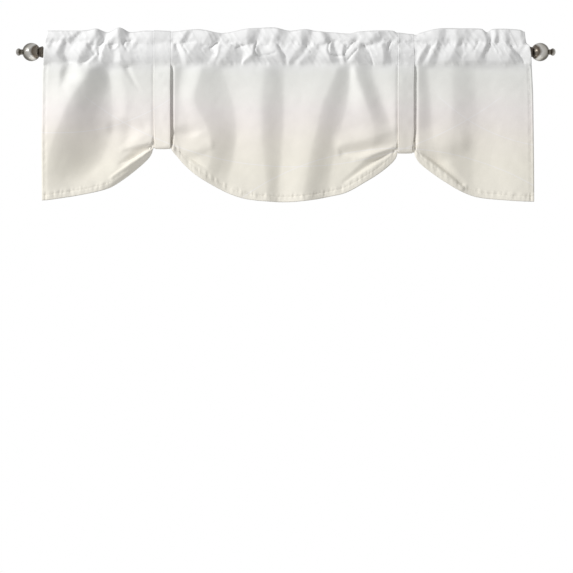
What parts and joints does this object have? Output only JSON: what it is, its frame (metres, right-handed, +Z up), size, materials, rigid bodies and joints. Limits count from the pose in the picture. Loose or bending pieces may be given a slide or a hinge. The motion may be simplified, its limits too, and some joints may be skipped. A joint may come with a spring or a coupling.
{
  "type": "tie-up window valance with curtain rod",
  "caption": "Rod-pocket window valance with a ruffled header, gathered on a curtain rod with ball finials and swagged up by flat vertical straps.",
  "frame": {"origin": "middle of the curtain rod, on its axis", "axes": "+X along the rod to the right as seen from the room, +Y away from the room towards the window, +Z up"},
  "size_m": [1.4572, 0.059, 0.471],
  "materials": {
    "cloth": "soft satin polyester, white at the top to ivory at the hem",
    "strap_cloth": "soft satin polyester, white to ivory",
    "metal": "brushed antique pewter"
  },
  "bodies": {
    "root": {"valance": "cloth", "strap_left": "strap_cloth", "strap_right": "strap_cloth", "rod": "metal", "finial_left": "metal", "finial_right": "metal"}
  },
  "joints": []
}
